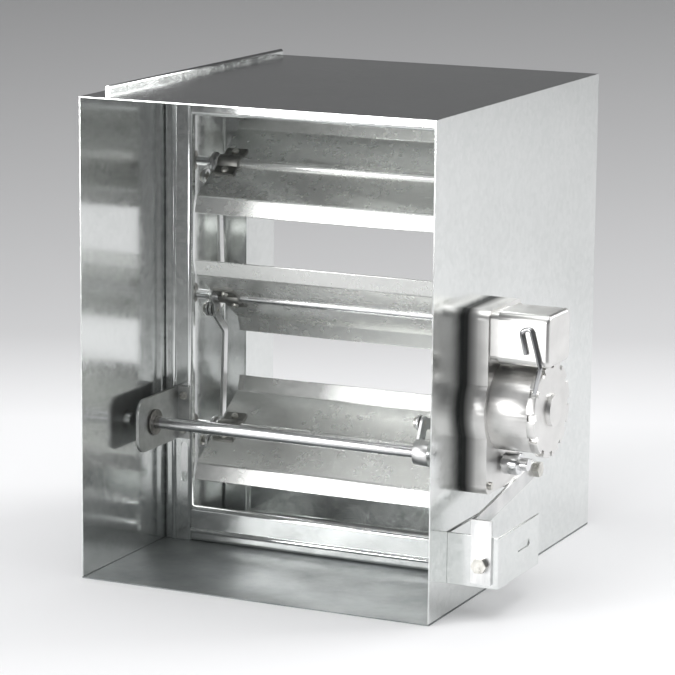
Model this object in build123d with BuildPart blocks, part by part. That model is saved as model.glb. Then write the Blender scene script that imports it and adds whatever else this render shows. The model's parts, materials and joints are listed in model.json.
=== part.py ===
# Multi-blade fire damper: opposed blades in a sheet-steel duct sleeve,
# turned by a jackshaft and an actuator outside the sleeve.
# Millimetres. Origin at the middle of the sleeve's base, +Z up, the open front faces -Y.
from build123d import *
import os
from math import atan2, cos, degrees, hypot, radians, sin, sqrt

# Sleeve
sleeve_width = 356.0
sleeve_height = 457.0
sleeve_depth = 406.0
sleeve_sheet = 1.2
seam_height = 6.0
seam_thickness = 5.0
seam_inset = 8.0
seam_setback = 40.0

# Frame channels
frame_setback = 163.0
frame_depth = 127.0
frame_sheet = 2.0
fold_radius = 4.0
jamb_flange = 30.0
head_flange = 33.0
sill_flange = 35.0
flange_return = 8.0
bead_radius = 2.5
bead_inset = 11.0
slot_width = 7.0
slot_length = 40.0
slot_inset = 22.0
slot_drop = 50.0

# Blades
blade_count = 3
blade_sheet = 1.6
stack_sill_gap = 38.5
stack_head_gap = 18.5
axle_lead = 10.0
blade_tilt = 32.0
mid_travel_tilt = 45.0
lip_width = 16.0
lip_angle = 40.0
lip_bend = 3.0
tip_gap = 1.0
blade_end_gap = 1.5

# Axles and bushings
axle_diameter = 9.5
running_clearance = 0.05
axle_end_gap = 0.5
bushing_wall = 2.4
bushing_flange = 3.4
bushing_flange_thickness = 3.0

# Saddle clamps and rivets
saddle_sheet = 2.0
saddle_width = 22.0
saddle_foot = 13.0
saddle_end_gap = 3.0
rivet_diameter = 4.0
rivet_head_diameter = 7.5
rivet_head_height = 2.4
rivet_head_taper = 20.0

# Cranks and tie links
crank_radius = 15.0
crank_thickness = 3.0
crank_hub_radius = 10.0
crank_eye_radius = 6.5
crank_gap = 1.5
pin_diameter = 5.0
pin_head_diameter = 10.0
pin_head_height = 2.0
link_thickness = 3.0
link_width = 8.0
link_eye_radius = 7.5
link_gap = 1.2
link_bow = 28.0
link_bow_drop = 24.0
link_bend_radius = 6.0
link_spare = 0.8
open_pivot_clearance = 1.8
drive_open_clearance = 0.3

# Jackshaft
shaft_diameter = 12.0
shaft_standoff = 52.0
shaft_height = 130.5
shaft_left_stub = 7.0
shaft_right_stub = 26.0
bracket_sheet = 3.0
bracket_height = 52.0
bracket_foot = 15.0
bracket_nose = 32.0
bracket_corner = 13.0
bracket_screw_spread = 34.0
bracket_inset = 14.0
shaft_bushing_wall = 3.0
shaft_bushing_flange = 3.5
shaft_bushing_flange_thickness = 2.5

# Drive crank, lug and link
lug_gap = 1.3
drive_radius = 28.0
drive_thickness = 3.0
drive_hub_radius = 12.5
drive_hub_width = 12.0
drive_eye_radius = 7.0
drive_link_gap = 1.2
drive_link_width = 11.0
lug_foot_width = 16.0
lug_foot_length = 14.0

# Actuator
base_thickness = 24.0
base_width = 80.0
base_drop = 23.5
base_height = 171.0
base_corner = 9.0
base_bulge_diameter = 94.0
drum_diameter = 82.0
drum_length = 39.0
drum_over_shaft = 54.0
cap_diameter = 88.0
cap_thickness = 8.0
cap_slot_count = 12
cap_slot_width = 6.0
cap_slot_depth = 5.0
cap_boss_diameter = 30.0
cap_boss_height = 4.0
cover_depth = 58.0
cover_width = 54.0
cover_gap = 1.5
cover_corner = 7.0
cover_neck = 9.0
cover_groove = 3.0
foot_length = 44.0
foot_width = 18.0
foot_drop = 8.0
clamp_radius = 10.5
clamp_width = 16.0
clamp_gap = 2.0
clip_wire = 4.0
clip_bend = 4.0
clip_width = 19.0
clip_leg = 25.0
clip_rake = 10.0
clip_height = 36.0
clip_tail = 24.0
clip_lean = 5.0
clip_inset = 7.0
clip_drop = 11.0

# Lower bracket, strap and screws
lower_bracket_sheet = 2.0
lower_bracket_reach = 50.0
lower_bracket_length = 100.0
lower_bracket_height = 48.0
lower_bracket_drop = 77.0
lower_bracket_setback = 40.0
lower_slot_width = 6.5
lower_slot_length = 30.0
lower_slot_back = 12.0
lower_slot_rise = 3.0
wall_screw_spread = 46.0
strap_width = 15.0
strap_thickness = 3.0
strap_tab = 20.0
strap_tab_drop = 44.0
strap_bolt_drop = 26.0
strap_lift = 0.5
bolt_diameter = 6.0
bolt_head_width = 13.0
bolt_head_height = 6.0
bolt_thread = 10.0
hex_sides = 6
screw_head_diameter = 8.0
screw_head_height = 3.0
screw_head_taper = 15.0
screw_diameter = 4.0
screw_grip = 8.0
screw_edge = 8.0

# Frame and opening places
inner_half_width = sleeve_width / 2 - sleeve_sheet
inner_top = sleeve_height - sleeve_sheet
frame_front = -sleeve_depth / 2 + frame_setback
frame_rear = frame_front + frame_depth
frame_middle = (frame_front + frame_rear) / 2
opening_half_width = inner_half_width - jamb_flange
stack_bottom = sleeve_sheet + stack_sill_gap
stack_top = inner_top - stack_head_gap
blade_pitch = (stack_top - stack_bottom) / blade_count
lower_axle_z = stack_bottom + blade_pitch / 2
axle_y = frame_middle - axle_lead
half_sheet = blade_sheet / 2
blade_half_length = opening_half_width - blade_end_gap
axle_radius = axle_diameter / 2
ridge_inner = axle_radius + running_clearance
ridge_outer = ridge_inner + blade_sheet
web_inner = inner_half_width - frame_sheet
bushing_outer = axle_radius + running_clearance + bushing_wall
pin_radius = pin_diameter / 2

# Shaft, bracket and screw places that several pieces share
shaft_y = frame_front - shaft_standoff
shaft_radius = shaft_diameter / 2
shaft_bore = shaft_radius + running_clearance
shaft_bushing_outer = shaft_bore + shaft_bushing_wall
bracket_x = -(inner_half_width - bracket_inset)
bracket_screw_x = bracket_x + (bracket_sheet + bracket_foot) / 2
bracket_screw_spots = [(bracket_screw_x, shaft_height + half * bracket_screw_spread / 2) for half in (-1, 1)]
screw_bore = screw_diameter / 2 + running_clearance
base_bottom = shaft_height - base_drop
lower_bracket_bottom = base_bottom - lower_bracket_drop
lower_front = -sleeve_depth / 2 + lower_bracket_setback
lower_middle_y = lower_front + lower_bracket_length / 2
lower_middle_z = lower_bracket_bottom + lower_bracket_height / 2
wall_screw_spots = [(lower_middle_y + half * wall_screw_spread / 2, lower_middle_z) for half in (-1, 1)]

# Blade name, axle height, and turn: +1 lifts the rear edge when closing, -1 drops it
blade_rows = [
    ("lower", lower_axle_z, 1),
    ("middle", lower_axle_z + blade_pitch, -1),
    ("upper", lower_axle_z + 2 * blade_pitch, 1),
]


def turned(length, angle):
    """Y and Z of a point at a length and an angle from +Y towards +Z."""
    return length * cos(radians(angle)), length * sin(radians(angle))


def section_plane(height, turn, start):
    """Cross-section plane of a blade: x runs from front edge to rear edge, extrusion runs along +X."""
    y, z = turned(1, turn * blade_tilt)
    return Plane(origin=(start, axle_y, height), x_dir=(0, y, z), z_dir=(1, 0, 0))


def face_plane(height, turn):
    """Face plane of a blade: x runs along +X, y from front edge to rear edge."""
    y, z = turned(1, turn * blade_tilt)
    return Plane(origin=(0, axle_y, height), x_dir=(1, 0, 0), z_dir=(0, -z, y))


def side_plane(start, y, z):
    """Plane facing +X at a point of the side view: x runs along +Y and y along +Z."""
    return Plane(origin=(start, y, z), x_dir=(0, 1, 0), z_dir=(1, 0, 0))


def draw_channel(flange):
    """Section of a frame channel with a beaded front: x runs from web to lips, y from front to rear."""
    front = -frame_depth / 2
    with Locations((flange / 2, 0)):
        RectangleRounded(flange, frame_depth, fold_radius)
        RectangleRounded(
            flange - 2 * frame_sheet,
            frame_depth - 2 * frame_sheet,
            fold_radius - frame_sheet,
            mode=Mode.SUBTRACT,
        )
    with Locations((flange - frame_sheet / 2, 0)):
        Rectangle(frame_sheet, frame_depth - 2 * flange_return, mode=Mode.SUBTRACT)
    with Locations((bead_inset, front)):
        Circle(bead_radius)
    with Locations((bead_inset, front + frame_sheet + bead_radius / 2)):
        Rectangle(2 * bead_radius, bead_radius, mode=Mode.SUBTRACT)


def save(piece, name):
    """Label a finished piece and write its file."""
    piece.part.label = name
    export_step(piece.part, f"parts/{name}.step")


os.makedirs("parts", exist_ok=True)

# Sleeve: one folded sheet, open front and back, with a round-topped seam along the top left edge
seam_x = seam_inset - sleeve_width / 2
seam_stem = seam_height - seam_thickness / 2
with BuildPart() as sleeve:
    with BuildSketch(Plane.XZ.offset(sleeve_depth / 2)):
        with Locations((0, sleeve_height / 2)):
            Rectangle(sleeve_width, sleeve_height)
            Rectangle(2 * inner_half_width, sleeve_height - 2 * sleeve_sheet, mode=Mode.SUBTRACT)
    extrude(amount=-sleeve_depth)
    with BuildSketch(Plane.XZ.offset(sleeve_depth / 2 - seam_setback)):
        with Locations((seam_x, sleeve_height + seam_stem / 2)):
            Rectangle(seam_thickness, seam_stem)
        with Locations((seam_x, sleeve_height + seam_stem)):
            Circle(seam_thickness / 2)
    extrude(amount=seam_setback - sleeve_depth)
    with BuildSketch(side_plane(inner_half_width, shaft_y, shaft_height)):
        Circle(shaft_bushing_outer + running_clearance)
    extrude(amount=sleeve_sheet, mode=Mode.SUBTRACT)
    with BuildSketch(side_plane(inner_half_width, 0, 0)):
        with Locations(*wall_screw_spots):
            Circle(screw_bore)
    extrude(amount=sleeve_sheet, mode=Mode.SUBTRACT)
save(sleeve, "sleeve_shell")

# Jambs: channels open to the airway, with bearing holes, and an access slot in the front flange
for side, name in ((-1, "jamb_left"), (1, "jamb_right")):
    jamb_foot = (side * inner_half_width, frame_middle, sleeve_sheet)
    with BuildPart() as jamb:
        with BuildSketch(Plane(origin=jamb_foot, x_dir=(-side, 0, 0), z_dir=(0, 0, -side))):
            draw_channel(jamb_flange)
        extrude(amount=side * (sleeve_sheet - inner_top))
        with BuildSketch(Plane.XZ.offset(-frame_front)):
            with Locations((side * (inner_half_width - slot_inset), shaft_height - slot_drop)):
                SlotOverall(slot_length, slot_width, rotation=90)
        extrude(amount=-frame_sheet, mode=Mode.SUBTRACT)
        for row, height, turn in blade_rows:
            with BuildSketch(side_plane(side * inner_half_width, axle_y, height)):
                Circle(bushing_outer + running_clearance)
            extrude(amount=-side * frame_sheet, mode=Mode.SUBTRACT)
        if side < 0:
            with BuildSketch(Plane.XZ.offset(-frame_front)):
                with Locations(*bracket_screw_spots):
                    Circle(screw_bore)
            extrude(amount=-frame_sheet, mode=Mode.SUBTRACT)
    save(jamb, name)

# Head and sill: channels between the jambs
channel_sites = (
    ("frame_head", head_flange, inner_top, 1),
    ("frame_sill", sill_flange, sleeve_sheet, -1),
)
for name, flange, web_z, up in channel_sites:
    channel_end = (-up * opening_half_width, frame_middle, web_z)
    with BuildPart() as channel:
        with BuildSketch(Plane(origin=channel_end, x_dir=(0, 0, -up), z_dir=(up, 0, 0))):
            draw_channel(flange)
        extrude(amount=2 * opening_half_width)
    save(channel, name)

# Axle bushings: a flanged bush in each jamb web
with BuildPart() as axle_bushings:
    for row, height, turn in blade_rows:
        for side in (-1, 1):
            with BuildSketch(side_plane(side * (inner_half_width - running_clearance), axle_y, height)):
                Circle(bushing_outer)
            extrude(amount=-side * (frame_sheet - running_clearance))
            with BuildSketch(side_plane(side * web_inner, axle_y, height)):
                Circle(bushing_outer + bushing_flange)
            extrude(amount=-side * bushing_flange_thickness)
            with BuildSketch(side_plane(side * inner_half_width, axle_y, height)):
                Circle(axle_radius + running_clearance)
            extrude(amount=-side * (frame_sheet + bushing_flange_thickness), mode=Mode.SUBTRACT)
save(axle_bushings, "axle_bushings")

# Places of the saddle clamps and their rivets on a blade's face
saddle_x = blade_half_length - saddle_end_gap - saddle_width / 2
rivet_v = ridge_outer + saddle_sheet + (saddle_foot - saddle_sheet) / 2
saddle_edge = ridge_outer + saddle_foot
rivet_spots = [(side * saddle_x, half * rivet_v) for side in (-1, 1) for half in (-1, 1)]
rivet_bore = rivet_diameter / 2 + running_clearance
rivet_grip = half_sheet + saddle_sheet

# Blade section: lips bent opposite ways, and tips that clear the next blade's tips as both turn
lip_run, lip_rise = turned(lip_width, lip_angle)
tip_radius = (blade_pitch - tip_gap) / 2 - half_sheet
blade_reach = sqrt(tip_radius**2 - lip_rise**2)
lip_fold = blade_reach - lip_run

for row, height, turn in blade_rows:
    # Blade: a sheet with two lips and a ridge over the axle
    with BuildPart() as blade:
        with BuildSketch(section_plane(height, turn, -blade_half_length)):
            with BuildLine():
                FilletPolyline(
                    (-blade_reach, -turn * lip_rise),
                    (-lip_fold, 0),
                    (lip_fold, 0),
                    (blade_reach, turn * lip_rise),
                    radius=lip_bend,
                )
                offset(amount=half_sheet)
            make_face()
            Circle(ridge_outer)
            Circle(ridge_inner, mode=Mode.SUBTRACT)
            with Locations((0, -half_sheet - ridge_outer / 2)):
                Rectangle(2 * ridge_outer, ridge_outer, mode=Mode.SUBTRACT)
        extrude(amount=2 * blade_half_length)
        with BuildSketch(face_plane(height, turn)):
            with Locations(*rivet_spots):
                Circle(rivet_bore)
        extrude(amount=rivet_grip, both=True, mode=Mode.SUBTRACT)
    save(blade, f"blade_{row}")

    # Axle rod, from bushing to bushing
    axle_half = inner_half_width - axle_end_gap
    with BuildPart() as axle:
        with BuildSketch(side_plane(-axle_half, axle_y, height)):
            Circle(axle_radius)
        extrude(amount=2 * axle_half)
        chamfer(axle.edges().filter_by(GeomType.CIRCLE), axle_end_gap)
    save(axle, f"axle_{row}")

    # Saddle clamps: a hat over the ridge and a strap under the axle, at both ends
    with BuildPart() as saddles:
        for side in (-1, 1):
            start = side * saddle_x - saddle_width / 2
            for over, bore in ((1, ridge_outer), (-1, ridge_inner)):
                with BuildSketch(section_plane(height, turn, start)):
                    Circle(bore + saddle_sheet)
                    with Locations((0, over * (half_sheet + saddle_sheet / 2))):
                        Rectangle(2 * saddle_edge, saddle_sheet)
                    Circle(bore, mode=Mode.SUBTRACT)
                    with Locations((0, over * (half_sheet - saddle_edge))):
                        Rectangle(2 * saddle_edge, 2 * saddle_edge, mode=Mode.SUBTRACT)
                extrude(amount=saddle_width)
        with BuildSketch(face_plane(height, turn)):
            with Locations(*rivet_spots):
                Circle(rivet_bore)
        extrude(amount=rivet_grip, both=True, mode=Mode.SUBTRACT)
    save(saddles, f"saddles_{row}")

    # Rivets through the saddles and the blade, headed on both faces
    with BuildPart() as rivets:
        with BuildSketch(face_plane(height, turn)):
            with Locations(*rivet_spots):
                Circle(rivet_diameter / 2)
        extrude(amount=rivet_grip, both=True)
        for face in (-1, 1):
            with BuildSketch(face_plane(height, turn).offset(face * rivet_grip)):
                with Locations(*rivet_spots):
                    Circle(rivet_head_diameter / 2)
            extrude(amount=face * rivet_head_height, taper=rivet_head_taper)
    save(rivets, f"rivets_{row}")

# Cranks on the left axle ends: the pin hangs straight below its axle at half travel
crank_x = -(blade_half_length + crank_gap)
crank_lag = mid_travel_tilt - blade_tilt
link_lower_x = crank_x - crank_thickness - link_gap
link_upper_x = link_lower_x - link_thickness - link_gap
pin_end_x = link_upper_x - link_thickness - link_gap
crank_pin_at = {}
for row, height, turn in blade_rows:
    crank_angle = -90 - turn * crank_lag
    pin_y, pin_z = turned(crank_radius, crank_angle)
    crank_pin_at[row] = (axle_y + pin_y, height + pin_z)
    with BuildPart() as crank:
        with BuildSketch(side_plane(crank_x, axle_y, height)):
            with Locations((pin_y / 2, pin_z / 2)):
                SlotCenterToCenter(crank_radius, 2 * crank_eye_radius, rotation=crank_angle)
            Circle(crank_hub_radius)
            Circle(axle_radius + running_clearance, mode=Mode.SUBTRACT)
            with Locations((pin_y, pin_z)):
                Circle(pin_radius + running_clearance, mode=Mode.SUBTRACT)
        extrude(amount=-crank_thickness)
    save(crank, f"crank_{row}")

    with BuildPart() as crank_pin:
        with BuildSketch(side_plane(crank_x, *crank_pin_at[row])):
            Circle(pin_radius)
        extrude(amount=pin_end_x - crank_x)
        with BuildSketch(side_plane(pin_end_x, *crank_pin_at[row])):
            Circle(pin_head_diameter / 2)
        extrude(amount=-pin_head_height)
    save(crank_pin, f"crank_pin_{row}")

# Tie links: each turns on the middle crank's pin and bows behind the axle that it passes
for row, start in (("lower", link_lower_x), ("upper", link_upper_x)):
    fit_y, fit_z = crank_pin_at["middle"]
    far_y, far_z = crank_pin_at[row]
    up_y, up_z = (far_y - fit_y, far_z - fit_z) if far_z > fit_z else (fit_y - far_y, fit_z - far_z)
    link_length = hypot(up_y, up_z) + link_spare
    rear_dir = (0, up_z, -up_y)
    top_at_fit = far_z < fit_z
    with BuildPart() as link:
        link_plane = Plane(origin=(start, fit_y, fit_z), x_dir=rear_dir, z_dir=(1, 0, 0))
        top = 0 if top_at_fit else link_length
        bottom = top - link_length
        with BuildSketch(link_plane):
            with BuildLine():
                FilletPolyline(
                    (0, top),
                    (link_bow, top - link_bow_drop),
                    (link_bow, bottom),
                    (0, bottom),
                    radius=link_bend_radius,
                )
                offset(amount=link_width / 2)
            make_face()
            with Locations((0, top), (0, bottom)):
                Circle(link_eye_radius)
            Circle(pin_radius + running_clearance, mode=Mode.SUBTRACT)
            with Locations((0, bottom if top_at_fit else top)):
                Circle(pin_radius + open_pivot_clearance, mode=Mode.SUBTRACT)
        extrude(amount=-link_thickness)
    save(link, f"link_{row}")

# Jackshaft across the front of the frame, out through the right wall
wall_outer = sleeve_width / 2
base_face = wall_outer + base_thickness
shaft_left = bracket_x - shaft_left_stub
shaft_right = base_face + shaft_right_stub
with BuildPart() as jackshaft:
    with BuildSketch(side_plane(shaft_left, shaft_y, shaft_height)):
        Circle(shaft_radius)
    extrude(amount=shaft_right - shaft_left)
    chamfer(jackshaft.edges().filter_by(GeomType.CIRCLE), axle_end_gap)
save(jackshaft, "jackshaft")

# Left shaft bracket: a plate forward from the jamb flange, with a foot screwed to the flange
with BuildPart() as shaft_bracket:
    with BuildSketch(side_plane(bracket_x, frame_front, shaft_height)) as bracket_side:
        with Locations((-(shaft_standoff + bracket_nose) / 2, 0)):
            Rectangle(shaft_standoff + bracket_nose, bracket_height)
        fillet(bracket_side.vertices().group_by(Axis.X)[0], bracket_corner)
        with Locations((-shaft_standoff, 0)):
            Circle(shaft_bushing_outer + running_clearance, mode=Mode.SUBTRACT)
    extrude(amount=bracket_sheet)
    with BuildSketch(Plane.XZ.offset(-frame_front)):
        with Locations((bracket_x + bracket_foot / 2, shaft_height)):
            Rectangle(bracket_foot, bracket_height)
        with Locations(*bracket_screw_spots):
            Circle(screw_bore, mode=Mode.SUBTRACT)
    extrude(amount=bracket_sheet)
save(shaft_bracket, "shaft_bracket")

# Shaft bushings: in the left bracket plate and in the right sleeve wall, flanged on the inner side
bushing_sites = (
    ("shaft_bushing_left", bracket_x, bracket_x + bracket_sheet, 1),
    ("shaft_bushing_right", wall_outer, inner_half_width, -1),
)
for name, seat_far, seat_near, inward in bushing_sites:
    with BuildPart() as shaft_bushing:
        with BuildSketch(side_plane(seat_far, shaft_y, shaft_height)):
            Circle(shaft_bushing_outer)
        extrude(amount=seat_near - seat_far)
        with BuildSketch(side_plane(seat_near, shaft_y, shaft_height)):
            Circle(shaft_bushing_outer + shaft_bushing_flange)
        extrude(amount=inward * shaft_bushing_flange_thickness)
        with BuildSketch(side_plane(seat_far, shaft_y, shaft_height)):
            Circle(shaft_bore)
        extrude(amount=seat_near - seat_far + inward * shaft_bushing_flange_thickness, mode=Mode.SUBTRACT)
    save(shaft_bushing, name)

with BuildPart() as shaft_bracket_screws:
    with BuildSketch(Plane.XZ.offset(bracket_sheet - frame_front)):
        with Locations(*bracket_screw_spots):
            Circle(screw_head_diameter / 2)
    extrude(amount=screw_head_height, taper=screw_head_taper)
    with BuildSketch(Plane.XZ.offset(bracket_sheet - frame_front)):
        with Locations(*bracket_screw_spots):
            Circle(screw_diameter / 2)
    extrude(amount=-(bracket_sheet + frame_sheet + screw_head_height))
save(shaft_bracket_screws, "shaft_bracket_screws")

# Drive: the shaft crank and the lower blade's lug are equal and parallel, so the link only shifts
shaft_to_axle_y = axle_y - shaft_y
shaft_to_axle_z = lower_axle_z - shaft_height
drive_span = hypot(shaft_to_axle_y, shaft_to_axle_z)
drive_slope = degrees(atan2(shaft_to_axle_z, shaft_to_axle_y))
drive_angle = drive_slope + 90 - crank_lag
drive_y, drive_z = turned(drive_radius, drive_angle)
drive_place = blade_half_length - saddle_end_gap - saddle_width - lug_gap - drive_thickness
drive_far = drive_place + drive_thickness
drive_link_x = drive_place - drive_link_gap - drive_thickness
drive_pin_end = drive_link_x - drive_link_gap
with BuildPart() as drive_crank:
    with BuildSketch(side_plane(drive_place, shaft_y, shaft_height)):
        with Locations((drive_y / 2, drive_z / 2)):
            SlotCenterToCenter(drive_radius, 2 * drive_eye_radius, rotation=drive_angle)
        with Locations((drive_y, drive_z)):
            Circle(pin_radius + running_clearance, mode=Mode.SUBTRACT)
    extrude(amount=drive_thickness)
    with BuildSketch(side_plane(drive_place, shaft_y, shaft_height)):
        Circle(drive_hub_radius)
    extrude(amount=drive_thickness + drive_hub_width)
    with BuildSketch(side_plane(drive_place, shaft_y, shaft_height)):
        Circle(shaft_bore)
    extrude(amount=drive_thickness + drive_hub_width, mode=Mode.SUBTRACT)
save(drive_crank, "drive_crank")

lug_u, lug_v = turned(drive_radius, drive_angle - blade_tilt)
with BuildPart() as drive_lug:
    with BuildSketch(section_plane(lower_axle_z, 1, drive_place)):
        with Locations((lug_u, (half_sheet + lug_v) / 2)):
            Rectangle(lug_foot_width, lug_v - half_sheet)
        with Locations((lug_u, lug_v)):
            Circle(lug_foot_width / 2)
            Circle(pin_radius + running_clearance, mode=Mode.SUBTRACT)
    extrude(amount=drive_thickness)
    with BuildSketch(section_plane(lower_axle_z, 1, drive_place)):
        with Locations((lug_u, half_sheet + drive_thickness / 2)):
            Rectangle(lug_foot_width, drive_thickness)
    extrude(amount=-lug_foot_length)
save(drive_lug, "drive_lug")

drive_pin_sites = (
    ("drive_pin_shaft", shaft_y, shaft_height),
    ("drive_pin_blade", axle_y, lower_axle_z),
)
for name, y, z in drive_pin_sites:
    with BuildPart() as drive_pin:
        with BuildSketch(side_plane(drive_far, y + drive_y, z + drive_z)):
            Circle(pin_radius)
        extrude(amount=drive_pin_end - drive_far)
        with BuildSketch(side_plane(drive_pin_end, y + drive_y, z + drive_z)):
            Circle(pin_head_diameter / 2)
        extrude(amount=-pin_head_height)
    save(drive_pin, name)

with BuildPart() as drive_link:
    with BuildSketch(side_plane(drive_link_x, shaft_y + drive_y, shaft_height + drive_z)):
        with Locations((shaft_to_axle_y / 2, shaft_to_axle_z / 2)):
            SlotCenterToCenter(drive_span, drive_link_width, rotation=drive_slope)
        with Locations((0, 0), (shaft_to_axle_y, shaft_to_axle_z)):
            Circle(link_eye_radius)
        Circle(pin_radius + drive_open_clearance, mode=Mode.SUBTRACT)
        with Locations((shaft_to_axle_y, shaft_to_axle_z)):
            Circle(pin_radius + running_clearance, mode=Mode.SUBTRACT)
    extrude(amount=drive_thickness)
save(drive_link, "drive_link")

# Actuator: a gear base on the wall, with the spring drum and the motor cover on its face
base_top = base_bottom + base_height
drum_z = shaft_height + drum_over_shaft
foot_y = shaft_y + base_width / 2 + foot_length / 2
foot_z = base_bottom - foot_drop + foot_width / 2
foot_bolt_y = shaft_y + base_width / 2 + foot_length - foot_width / 2
side_screw_y = base_width / 2 - screw_edge
actuator_screw_spots = [
    (shaft_y - side_screw_y, base_bottom + screw_edge),
    (shaft_y + side_screw_y, base_bottom + screw_edge),
    (shaft_y + side_screw_y, base_top - screw_edge),
]
bolt_bore = bolt_diameter / 2 + running_clearance
with BuildPart() as actuator_base:
    with BuildSketch(side_plane(wall_outer, 0, 0)):
        with Locations((shaft_y, base_bottom + base_height / 2)):
            RectangleRounded(base_width, base_height, base_corner)
        with Locations((shaft_y, drum_z)):
            Circle(base_bulge_diameter / 2)
        with Locations((foot_y - foot_width / 2, foot_z)):
            SlotOverall(foot_length + foot_width, foot_width)
        with Locations((shaft_y, shaft_height)):
            Circle(shaft_bore, mode=Mode.SUBTRACT)
    extrude(amount=base_thickness)
    with BuildSketch(side_plane(base_face, 0, 0)):
        with Locations(*actuator_screw_spots):
            Circle(screw_bore)
    extrude(amount=-screw_grip, mode=Mode.SUBTRACT)
    with BuildSketch(side_plane(base_face, foot_bolt_y, foot_z)):
        Circle(bolt_bore)
    extrude(amount=-bolt_thread, mode=Mode.SUBTRACT)
save(actuator_base, "actuator_base")

with BuildPart() as actuator_screws:
    with BuildSketch(side_plane(base_face, 0, 0)):
        with Locations(*actuator_screw_spots):
            Circle(screw_head_diameter / 2)
    extrude(amount=screw_head_height, taper=screw_head_taper)
    with BuildSketch(side_plane(base_face, 0, 0)):
        with Locations(*actuator_screw_spots):
            Circle(screw_diameter / 2)
    extrude(amount=running_clearance - screw_grip)
save(actuator_screws, "actuator_screws")

with BuildPart() as spring_drum:
    with BuildSketch(side_plane(base_face, shaft_y, drum_z)):
        Circle(drum_diameter / 2)
    extrude(amount=drum_length)
save(spring_drum, "spring_drum")

cap_x = base_face + drum_length
with BuildPart() as drum_cap:
    with BuildSketch(side_plane(cap_x, shaft_y, drum_z)):
        Circle(cap_diameter / 2)
        with PolarLocations(cap_diameter / 2, cap_slot_count):
            Rectangle(2 * cap_slot_depth, cap_slot_width, mode=Mode.SUBTRACT)
    extrude(amount=cap_thickness)
    with BuildSketch(side_plane(cap_x + cap_thickness, shaft_y, drum_z)):
        Circle(cap_boss_diameter / 2)
    extrude(amount=cap_boss_height)
save(drum_cap, "drum_cap")

# Motor cover: a neck on the base, then a box with soft edges
cover_bottom = drum_z + cap_diameter / 2 + cover_gap
cover_height = base_top - cover_bottom
cover_front = shaft_y - base_width / 2
cover_y = cover_front + cover_width / 2
cover_z = cover_bottom + cover_height / 2
neck_width = cover_width - 2 * cover_groove
neck_height = cover_height - 2 * cover_groove
with BuildPart() as motor_cover:
    with BuildSketch(side_plane(base_face + cover_neck, cover_y, cover_z)):
        RectangleRounded(cover_width, cover_height, cover_corner)
    extrude(amount=cover_depth - cover_neck)
    fillet(motor_cover.faces().sort_by(Axis.X)[-1].edges(), cover_corner / 2)
    with BuildSketch(side_plane(base_face, cover_y, cover_z)):
        RectangleRounded(neck_width, neck_height, cover_corner - cover_groove)
    extrude(amount=cover_neck)
save(motor_cover, "motor_cover")

# Wire clip: a hairpin lying on the cover's front face, with a tail below it
clip_right = base_face + cover_depth - clip_inset
clip_top = base_top - clip_drop
clip_left = clip_right - clip_width
with BuildPart() as cover_clip:
    with BuildLine(Plane.XZ.offset(clip_wire / 2 - cover_front)) as clip_path:
        FilletPolyline(
            (clip_left + clip_lean, clip_top - clip_leg),
            (clip_left, clip_top - clip_bend),
            (clip_right - clip_rake, clip_top),
            (clip_right, clip_top - clip_height),
            (clip_right - clip_lean, clip_top - clip_height - clip_tail),
            radius=clip_bend,
        )
    with BuildSketch(clip_path.line ^ 0):
        Circle(clip_wire / 2)
    sweep()
save(cover_clip, "cover_clip")

# Shaft clamp on the jackshaft's outer end, under the drum
clamp_x = base_face + clamp_gap
with BuildPart() as shaft_clamp:
    with BuildSketch(side_plane(clamp_x, shaft_y, shaft_height)):
        Circle(clamp_radius)
        Circle(shaft_bore, mode=Mode.SUBTRACT)
    extrude(amount=clamp_width)
    chamfer(shaft_clamp.edges().filter_by(GeomType.CIRCLE).group_by(SortBy.RADIUS)[-1], clamp_gap / 2)
save(shaft_clamp, "shaft_clamp")

# Lower bracket: a folded channel standing off the right wall, open to the rear
lower_top = lower_bracket_bottom + lower_bracket_height
lower_outer = wall_outer + lower_bracket_reach
tab_bolt_x = base_face + strap_tab / 2
tab_bolt_z = lower_top - strap_bolt_drop
slot_y = lower_middle_y + lower_slot_back
lower_inside = lower_bracket_reach - 2 * lower_bracket_sheet
with BuildPart() as lower_bracket:
    with BuildSketch(Plane.XY.offset(lower_bracket_bottom)):
        with Locations((wall_outer + lower_bracket_reach / 2, lower_middle_y)):
            Rectangle(lower_bracket_reach, lower_bracket_length)
        with Locations((wall_outer + lower_bracket_reach / 2, lower_middle_y + lower_bracket_sheet)):
            Rectangle(lower_inside, lower_bracket_length, mode=Mode.SUBTRACT)
    extrude(amount=lower_bracket_height)
    with BuildSketch(side_plane(lower_outer, slot_y, lower_middle_z + lower_slot_rise)):
        SlotOverall(lower_slot_length, lower_slot_width)
    extrude(amount=-lower_bracket_sheet, mode=Mode.SUBTRACT)
    with BuildSketch(Plane.XZ.offset(-lower_front)):
        with Locations((tab_bolt_x, tab_bolt_z)):
            Circle(bolt_bore)
    extrude(amount=-lower_bracket_sheet, mode=Mode.SUBTRACT)
    with BuildSketch(side_plane(wall_outer, 0, 0)):
        with Locations(*wall_screw_spots):
            Circle(screw_bore)
    extrude(amount=lower_bracket_sheet, mode=Mode.SUBTRACT)
save(lower_bracket, "lower_bracket")

with BuildPart() as bracket_screws:
    with BuildSketch(side_plane(wall_outer + lower_bracket_sheet, 0, 0)):
        with Locations(*wall_screw_spots):
            Circle(screw_head_diameter / 2)
    extrude(amount=screw_head_height, taper=screw_head_taper)
    with BuildSketch(side_plane(wall_outer + lower_bracket_sheet, 0, 0)):
        with Locations(*wall_screw_spots):
            Circle(screw_diameter / 2)
    extrude(amount=-(lower_bracket_sheet + sleeve_sheet + screw_head_height))
save(bracket_screws, "bracket_screws")

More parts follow.
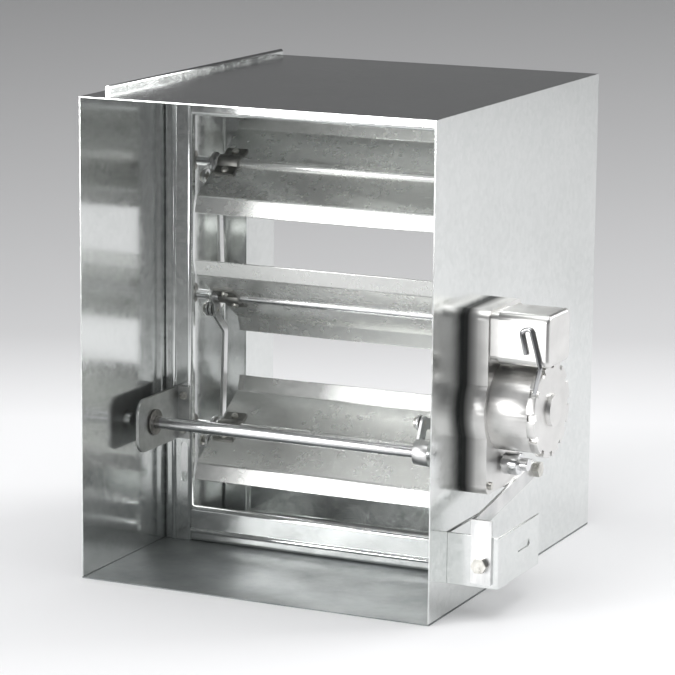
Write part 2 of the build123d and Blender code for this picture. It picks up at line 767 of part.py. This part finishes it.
# Strap: a bar from the actuator's foot down to the lower bracket, its end bent into a bolted tab
strap_low_y = lower_front - strap_thickness + strap_width / 2
strap_low_z = lower_top + strap_width / 2 + strap_lift
strap_y = (strap_low_y + foot_bolt_y) / 2
strap_z = (strap_low_z + foot_z) / 2
strap_span = hypot(foot_bolt_y - strap_low_y, foot_z - strap_low_z)
strap_slope = degrees(atan2(foot_z - strap_low_z, foot_bolt_y - strap_low_y))
tab_top = strap_low_z + strap_width / 2
tab_height = tab_top - lower_top + strap_tab_drop
with BuildPart() as strap:
    with BuildSketch(side_plane(base_face, strap_y, strap_z)):
        SlotCenterToCenter(strap_span, strap_width, rotation=strap_slope)
    extrude(amount=strap_thickness)
    with BuildSketch(Plane.XZ.offset(-lower_front)):
        with Locations((base_face + strap_tab / 2, tab_top - tab_height / 2)):
            Rectangle(strap_tab, tab_height)
        with Locations((tab_bolt_x, tab_bolt_z)):
            Circle(bolt_bore, mode=Mode.SUBTRACT)
    extrude(amount=strap_thickness)
    with BuildSketch(side_plane(base_face, foot_bolt_y, foot_z)):
        Circle(bolt_bore)
    extrude(amount=strap_thickness, mode=Mode.SUBTRACT)
save(strap, "strap")

bolt_corner = bolt_head_width / 2 / cos(radians(180 / hex_sides))
with BuildPart() as strap_bolts:
    with BuildSketch(side_plane(base_face + strap_thickness, foot_bolt_y, foot_z)):
        RegularPolygon(bolt_corner, hex_sides)
    extrude(amount=bolt_head_height)
    with BuildSketch(side_plane(base_face + strap_thickness, foot_bolt_y, foot_z)):
        Circle(bolt_diameter / 2)
    extrude(amount=running_clearance - strap_thickness - bolt_thread)
    with BuildSketch(Plane.XZ.offset(strap_thickness - lower_front)):
        with Locations((tab_bolt_x, tab_bolt_z)):
            RegularPolygon(bolt_corner, hex_sides)
    extrude(amount=bolt_head_height)
    with BuildSketch(Plane.XZ.offset(strap_thickness - lower_front)):
        with Locations((tab_bolt_x, tab_bolt_z)):
            Circle(bolt_diameter / 2)
    extrude(amount=-(strap_thickness + lower_bracket_sheet + bolt_head_height))
    with BuildSketch(Plane.XZ.offset(-lower_front - lower_bracket_sheet)):
        with Locations((tab_bolt_x, tab_bolt_z)):
            RegularPolygon(bolt_corner, hex_sides)
    extrude(amount=-bolt_head_height)
save(strap_bolts, "strap_bolts")
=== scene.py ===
# Looks of a multi-blade fire damper: zinc sheet, plated linkage and a cast actuator, on a pale paper sweep.
import json
import math

import bmesh
import bpy
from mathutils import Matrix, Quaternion, Vector


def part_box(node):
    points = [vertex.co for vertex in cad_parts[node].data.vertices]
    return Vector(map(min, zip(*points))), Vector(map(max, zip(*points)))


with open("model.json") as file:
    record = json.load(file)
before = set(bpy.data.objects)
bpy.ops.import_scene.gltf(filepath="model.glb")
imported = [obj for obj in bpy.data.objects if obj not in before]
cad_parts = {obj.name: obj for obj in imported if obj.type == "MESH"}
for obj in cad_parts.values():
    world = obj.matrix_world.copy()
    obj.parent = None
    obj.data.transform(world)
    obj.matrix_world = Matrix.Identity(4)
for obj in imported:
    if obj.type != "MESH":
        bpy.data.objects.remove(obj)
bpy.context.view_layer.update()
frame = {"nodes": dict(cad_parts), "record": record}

nodes = frame["nodes"]
record = frame["record"]
scene = bpy.context.scene

# Camera, from the photograph's vanishing lines: metres and radians, sensor and lens in millimetres
camera_place = Vector((1.2502, -2.7213, 0.8118))
camera_yaw = 0.4333
camera_pitch = 0.1977
camera_roll = 0.0094
camera_sensor = 36.0
camera_lens = 168.8

# Paper sweep: a level floor, a quarter round and an upright backdrop, turned to face the camera
sweep_front = -6.0
sweep_start = 1.1
sweep_radius = 3.8
sweep_height = 4.5
sweep_half_width = 7.0
sweep_steps = 24

# Painted light falloff on the paper: its greys, by the share of its run, which grows with height, with depth
# and towards the front
paper_tones = ((0.0, 0.92), (0.044, 0.68), (0.147, 0.52), (0.306, 0.29), (0.45, 0.22), (1.0, 0.18))
paper_run_start = 0.2
paper_run_end = 4.1
paper_depth_share = 0.35
paper_front_start = 0.45
paper_front_fade = 2.27
paper_blue = 1.01
paper_roughness = 0.9

# Softboxes, in metres and watts, and the even light around them
light_aim = Vector((0.0, 0.0, 0.23))
lights = {
    "overhead": {"place": (0.2, -0.2, 3.2), "width": 3.2, "height": 3.2, "power": 86.0},
    "front_fill": {"place": (-1.4, -3.2, 0.45), "width": 2.4, "height": 0.7, "power": 78.0},
    "left_key": {"place": (-2.0, -2.6, 1.9), "width": 1.4, "height": 1.4, "power": 26.0},
    "right_rear": {"place": (2.3, 2.3, 1.5), "width": 1.8, "height": 1.8, "power": 60.0},
}
world_colour = (0.72, 0.73, 0.75)
world_strength = 0.2

# Sleeve limits that part its outer faces from its inside: a duct end's mount lies at half its height
sleeve_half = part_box("sleeve_shell")[1].x
duct_end = next(mount for mount in record["mounts"] if mount["name"] == "front_duct_end")
sleeve_top = 2 * duct_end["pos_m"][2]
half_sheet = 0.0006

# Dust on the sleeve's bottom sheet
dust_height = 3 * half_sheet
dust_colour = (0.11, 0.125, 0.128)
dust_least = 0.75
dust_metal_loss = 0.5
dust_roughness = 0.3

# Painted shade on the actuator's casting next to the sleeve's wall, by the distance from the sleeve's wall:
# darker, rougher and less metallic the nearer the wall
painted_shade_full = 0.003
painted_shade_end = 0.014
painted_shade_colour = (0.03, 0.032, 0.031)
painted_shade_metallic = 0.2
painted_shade_roughness = 0.3

# Edge softening of the CAD nodes
edge_width = 0.0004
fine_edge_width = 0.00025
edge_segments = 2
edge_angle = math.radians(35)
weld_distance = 0.000002

# Most values of a noise texture lie between these
noise_low = 0.3
noise_high = 0.7


class Shader:
    """A material's node tree, with short calls to add and join nodes."""

    def __init__(self, name):
        self.material = bpy.data.materials.new(name)
        self.material.use_nodes = True
        self.tree = self.material.node_tree
        self.surface = self.tree.nodes["Principled BSDF"]
        self.place = self.tree.nodes.new("ShaderNodeTexCoord").outputs["Object"]

    def join(self, source, target):
        self.tree.links.new(source, target)

    def stretched(self, scale):
        """The object's own coordinates, scaled along each axis."""
        mapping = self.tree.nodes.new("ShaderNodeMapping")
        mapping.inputs["Scale"].default_value = scale
        self.join(self.place, mapping.inputs["Vector"])
        return mapping.outputs["Vector"]

    def axes(self):
        """The object's own X, Y and Z, apart."""
        split = self.tree.nodes.new("ShaderNodeSeparateXYZ")
        self.join(self.place, split.inputs["Vector"])
        return split.outputs

    def noise(self, scale, detail, roughness=0.55, vector=None):
        node = self.tree.nodes.new("ShaderNodeTexNoise")
        node.inputs["Scale"].default_value = scale
        node.inputs["Detail"].default_value = detail
        node.inputs["Roughness"].default_value = roughness
        self.join(vector or self.place, node.inputs["Vector"])
        return node.outputs["Fac"]

    def crystals(self, scale):
        """A random value for each grain of the surface."""
        node = self.tree.nodes.new("ShaderNodeTexVoronoi")
        node.inputs["Scale"].default_value = scale
        self.join(self.place, node.inputs["Vector"])
        split = self.tree.nodes.new("ShaderNodeSeparateColor")
        self.join(node.outputs["Color"], split.inputs["Color"])
        return split.outputs["Red"]

    def ramp(self, value, low, high, start=0.0, end=1.0):
        """A value mapped from start..end to low..high."""
        node = self.tree.nodes.new("ShaderNodeMapRange")
        node.inputs["From Min"].default_value = start
        node.inputs["From Max"].default_value = end
        node.inputs["To Min"].default_value = low
        node.inputs["To Max"].default_value = high
        self.join(value, node.inputs["Value"])
        return node.outputs["Result"]

    def spread(self, noise, low, high):
        """A noise texture's usual range mapped to low..high."""
        return self.ramp(noise, low, high, noise_low, noise_high)

    def math(self, operation, *values):
        """A math node's result, from numbers and other nodes' outputs."""
        node = self.tree.nodes.new("ShaderNodeMath")
        node.operation = operation
        for value, socket in zip(values, node.inputs):
            if isinstance(value, float):
                socket.default_value = value
            else:
                self.join(value, socket)
        return node.outputs["Value"]

    def blend(self, value, first, second):
        """A colour between two, by a value. The first may be another node's output."""
        node = self.tree.nodes.new("ShaderNodeMix")
        node.data_type = "RGBA"
        if isinstance(first, tuple):
            node.inputs["A"].default_value = (*first, 1.0)
        else:
            self.join(first, node.inputs["A"])
        node.inputs["B"].default_value = (*second, 1.0)
        self.join(value, node.inputs["Factor"])
        return node.outputs["Result"]

    def bump(self, height, strength, distance, under=None):
        """A normal that follows a height, on top of another normal if there is one."""
        node = self.tree.nodes.new("ShaderNodeBump")
        node.inputs["Strength"].default_value = strength
        node.inputs["Distance"].default_value = distance
        self.join(height, node.inputs["Height"])
        if under is not None:
            self.join(under, node.inputs["Normal"])
        return node.outputs["Normal"]

    def outer(self):
        """One on the outer faces of the sleeve, zero inside it."""
        axes = self.axes()
        wide = self.math("GREATER_THAN", self.math("ABSOLUTE", axes["X"]), sleeve_half - half_sheet)
        high = self.math("GREATER_THAN", axes["Z"], sleeve_top - half_sheet)
        low = self.math("LESS_THAN", axes["Z"], half_sheet)
        return self.math("MAXIMUM", wide, self.math("MAXIMUM", high, low))

    def metal(self, colour, roughness, normal, metallic=None):
        """The finished material, all metal unless a node says how much of it is."""
        self.surface.inputs["Metallic"].default_value = 1.0
        if metallic is not None:
            self.join(metallic, self.surface.inputs["Metallic"])
        self.join(colour, self.surface.inputs["Base Color"])
        self.join(roughness, self.surface.inputs["Roughness"])
        self.join(normal, self.surface.inputs["Normal"])
        return self.material


def zinc_sheet(name, dark, light, smooth, rough, grain, wave, metallic, weathered):
    """Hot-dip zinc: grains that differ in tone and gloss on a wavy sheet, duller outside and dusty below."""
    fine_grain = 2.7 * grain
    spangle_tone, cloud_tone, fine_tone = 0.42, 0.36, 0.22
    spangle_gloss, cloud_gloss = 0.6, 0.4
    s = Shader(name)
    spangle = s.crystals(grain)
    fine = s.crystals(fine_grain)
    cloud = s.noise(scale=9.0, detail=4.0)
    tone = s.math("ADD", s.ramp(spangle, 0.0, spangle_tone), s.spread(cloud, 0.0, cloud_tone))
    tone = s.math("ADD", tone, s.ramp(fine, 0.0, fine_tone))
    gloss = s.math("ADD", s.ramp(spangle, 0.0, spangle_gloss), s.spread(cloud, 0.0, cloud_gloss))
    ripple = s.bump(s.noise(scale=5.0, detail=1.5), strength=wave, distance=0.004)
    grains = s.bump(fine, strength=0.008, distance=0.0002, under=ripple)
    outer = s.outer()
    dulled = s.math("ADD", s.ramp(gloss, smooth, rough), s.ramp(outer, 0.0, weathered))
    bottom = s.math("LESS_THAN", s.axes()["Z"], dust_height)
    dust = s.math("MULTIPLY", bottom, s.spread(cloud, dust_least, 1.0))
    return s.metal(
        colour=s.blend(dust, s.blend(tone, dark, light), dust_colour),
        roughness=s.math("ADD", dulled, s.math("MULTIPLY", dust, dust_roughness)),
        normal=grains,
        metallic=s.math("SUBTRACT", s.ramp(outer, metallic, 1.0), s.math("MULTIPLY", dust, dust_metal_loss)),
    )


def drawn_bar(name, dark, light, smooth, rough, stretch):
    """Plated bar, rod or wire: fine drawing lines under a cloudy plating."""
    lines_tone, cloud_tone = 0.5, 0.5
    s = Shader(name)
    lines = s.noise(scale=240.0, detail=3.0, roughness=0.6, vector=s.stretched(stretch))
    cloud = s.noise(scale=38.0, detail=4.0)
    tone = s.math("ADD", s.spread(lines, 0.0, lines_tone), s.spread(cloud, 0.0, cloud_tone))
    return s.metal(
        colour=s.blend(tone, dark, light),
        roughness=s.ramp(tone, smooth, rough),
        normal=s.bump(lines, strength=0.08, distance=0.0003),
    )


def pressed_steel(name, dark, light, smooth, rough, mottle):
    """Dull plated or oiled steel with mottling and small pits."""
    pit_scale = 9.0 * mottle
    s = Shader(name)
    cloud = s.noise(scale=mottle, detail=5.0, roughness=0.65)
    pits = s.noise(scale=pit_scale, detail=2.0)
    return s.metal(
        colour=s.blend(s.spread(cloud, 0.0, 1.0), dark, light),
        roughness=s.spread(cloud, smooth, rough),
        normal=s.bump(pits, strength=0.12, distance=0.0002),
    )


def cast_metal(name, dark, light, smooth, rough):
    """Die-cast aluminium: a fine sandy skin, cloudy tone, a few flow marks, and a painted shade next to the
    wall.
    """
    cloud_tone, flow_tone = 0.6, 0.4
    flow_stretch = (1.0, 0.35, 1.0)
    s = Shader(name)
    skin = s.noise(scale=900.0, detail=2.0)
    cloud = s.noise(scale=26.0, detail=5.0, roughness=0.6)
    flow = s.noise(scale=60.0, detail=3.0, roughness=0.5, vector=s.stretched(flow_stretch))
    tone = s.math("ADD", s.spread(cloud, 0.0, cloud_tone), s.spread(flow, 0.0, flow_tone))
    marks = s.bump(flow, strength=0.08, distance=0.0006)
    # Painted shade: the casting darkens next to the sleeve's wall, where shade falls in the gap, and turns
    # rougher and less metallic there
    painted_shade = s.ramp(s.axes()["X"], 1.0, 0.0, sleeve_half + painted_shade_full, sleeve_half + painted_shade_end)
    return s.metal(
        colour=s.blend(painted_shade, s.blend(tone, dark, light), painted_shade_colour),
        roughness=s.math("ADD", s.ramp(tone, smooth, rough), s.math("MULTIPLY", painted_shade, painted_shade_roughness)),
        normal=s.bump(skin, strength=0.16, distance=0.0003, under=marks),
        metallic=s.ramp(painted_shade, 1.0, painted_shade_metallic),
    )


# Stretch of the drawing lines: along the rods, and along the flat links and the wire
along_x = (0.02, 1.0, 1.0)
along_yz = (1.0, 0.12, 0.12)

# Each material slot's finish, with its darkest and lightest colour and its least and most roughness
finishes = {
    "galvanised_sheet": (zinc_sheet, {
        "dark": (0.70, 0.72, 0.71), "light": (0.85, 0.865, 0.855), "smooth": 0.10, "rough": 0.20,
        "grain": 190.0, "wave": 0.03, "metallic": 0.90, "weathered": 0.03,
    }),
    "blade_sheet": (zinc_sheet, {
        "dark": (0.79, 0.80, 0.785), "light": (0.88, 0.885, 0.86), "smooth": 0.23, "rough": 0.29,
        "grain": 210.0, "wave": 0.012, "metallic": 0.78, "weathered": 0.0,
    }),
    "plated_rod": (drawn_bar, {
        "dark": (0.70, 0.71, 0.72), "light": (0.90, 0.90, 0.90), "smooth": 0.14, "rough": 0.28,
        "stretch": along_x,
    }),
    "linkage_steel": (drawn_bar, {
        "dark": (0.56, 0.57, 0.57), "light": (0.83, 0.83, 0.82), "smooth": 0.24, "rough": 0.42,
        "stretch": along_yz,
    }),
    "spring_wire": (drawn_bar, {
        "dark": (0.38, 0.39, 0.40), "light": (0.60, 0.60, 0.61), "smooth": 0.07, "rough": 0.14,
        "stretch": along_yz,
    }),
    "clamp_steel": (pressed_steel, {
        "dark": (0.17, 0.17, 0.16), "light": (0.40, 0.40, 0.38), "smooth": 0.34, "rough": 0.55,
        "mottle": 70.0,
    }),
    "fastener_zinc": (pressed_steel, {
        "dark": (0.50, 0.49, 0.45), "light": (0.80, 0.79, 0.75), "smooth": 0.24, "rough": 0.42,
        "mottle": 160.0,
    }),
    "bearing_iron": (pressed_steel, {
        "dark": (0.16, 0.155, 0.145), "light": (0.34, 0.33, 0.31), "smooth": 0.36, "rough": 0.55,
        "mottle": 150.0,
    }),
    "bracket_steel": (pressed_steel, {
        "dark": (0.34, 0.35, 0.345), "light": (0.56, 0.57, 0.56), "smooth": 0.30, "rough": 0.46,
        "mottle": 45.0,
    }),
    "cast_aluminium": (cast_metal, {
        "dark": (0.66, 0.655, 0.64), "light": (0.84, 0.835, 0.82), "smooth": 0.30, "rough": 0.44,
    }),
}
materials = {slot: finish(slot, **values) for slot, (finish, values) in finishes.items()}
fine_slots = {"fastener_zinc", "spring_wire", "clamp_steel"}


def dress(node, slot):
    """Give a CAD node its finish and soften its sharp edges."""
    piece = nodes[node]
    piece.data.materials.clear()
    piece.data.materials.append(materials[slot])
    weld = piece.modifiers.new("weld", "WELD")
    weld.merge_threshold = weld_distance
    bevel = piece.modifiers.new("edges", "BEVEL")
    bevel.width = fine_edge_width if slot in fine_slots else edge_width
    bevel.segments = edge_segments
    bevel.limit_method = "ANGLE"
    bevel.angle_limit = edge_angle
    bevel.use_clamp_overlap = True
    bevel.harden_normals = True


def studio_paper():
    """Paper painted white near the object and grey above, behind and far in front of it, a painted falloff
    of the light.
    """
    s = Shader("studio_paper")
    axes = s.axes()
    # Painted light: this grey ramp stands in for the lamps' falloff over the paper
    behind = s.math("ADD", s.math("MULTIPLY", axes["Y"], paper_depth_share), axes["Z"])
    ahead = s.math("MULTIPLY", s.math("ADD", axes["Y"], paper_front_start), -paper_front_fade)
    run = s.ramp(s.math("MAXIMUM", behind, ahead), 0.0, 1.0, paper_run_start, paper_run_end)
    greys = s.tree.nodes.new("ShaderNodeValToRGB")
    stops = greys.color_ramp.elements
    for position, _ in paper_tones[1:-1]:
        stops.new(position)
    for stop, (position, tone) in zip(stops, paper_tones):
        stop.position = position
        stop.color = (tone, tone, paper_blue * tone, 1.0)
    s.join(run, greys.inputs["Fac"])
    s.join(greys.outputs["Color"], s.surface.inputs["Base Color"])
    s.surface.inputs["Roughness"].default_value = paper_roughness
    return s.material


def studio_sweep():
    """A floor that curves up into a backdrop."""
    profile = [(sweep_front, 0.0), (sweep_start, 0.0)]
    for step in range(1, sweep_steps + 1):
        turn = math.pi / 2 * step / sweep_steps
        profile.append((sweep_start + sweep_radius * math.sin(turn), sweep_radius * (1 - math.cos(turn))))
    profile.append((sweep_start + sweep_radius, sweep_height))
    mesh = bmesh.new()
    rows = [[mesh.verts.new((x, y, z)) for y, z in profile] for x in (-sweep_half_width, sweep_half_width)]
    for i in range(len(profile) - 1):
        face = mesh.faces.new((rows[0][i], rows[1][i], rows[1][i + 1], rows[0][i + 1]))
        face.smooth = True
    data = bpy.data.meshes.new("studio_sweep")
    mesh.to_mesh(data)
    mesh.free()
    data.materials.append(studio_paper())
    sweep = bpy.data.objects.new("studio_sweep", data)
    sweep.rotation_euler.z = camera_yaw
    scene.collection.objects.link(sweep)


def softbox(name, place, width, height, power):
    """A rectangular studio light that points at the object."""
    light = bpy.data.lights.new(name, "AREA")
    light.shape = "RECTANGLE"
    light.size = width
    light.size_y = height
    light.energy = power
    lamp = bpy.data.objects.new(name, light)
    lamp.location = place
    lamp.rotation_euler = (light_aim - Vector(place)).to_track_quat("-Z", "Y").to_euler()
    scene.collection.objects.link(lamp)


def studio_world():
    """Weak even light from all around."""
    world = bpy.data.worlds.new("studio")
    world.use_nodes = True
    background = world.node_tree.nodes["Background"]
    background.inputs["Color"].default_value = (*world_colour, 1.0)
    background.inputs["Strength"].default_value = world_strength
    scene.world = world


def photo_camera():
    """A camera that sees the object as the photograph does."""
    data = bpy.data.cameras.new("camera")
    data.sensor_width = camera_sensor
    data.lens = camera_lens
    camera = bpy.data.objects.new("camera", data)
    camera.location = camera_place
    look = Vector((
        -math.sin(camera_yaw) * math.cos(camera_pitch),
        math.cos(camera_yaw) * math.cos(camera_pitch),
        -math.sin(camera_pitch),
    ))
    level = look.to_track_quat("-Z", "Y")
    camera.rotation_euler = (level @ Quaternion((0.0, 0.0, 1.0), camera_roll)).to_euler()
    scene.collection.objects.link(camera)
    scene.camera = camera


for entry in record["subparts"]:
    dress(entry["node"], entry["material_slot"])
studio_sweep()
for light_name, light_values in lights.items():
    softbox(light_name, **light_values)
studio_world()
photo_camera()
scene.view_settings.view_transform = "Standard"

bpy.context.view_layer.update()
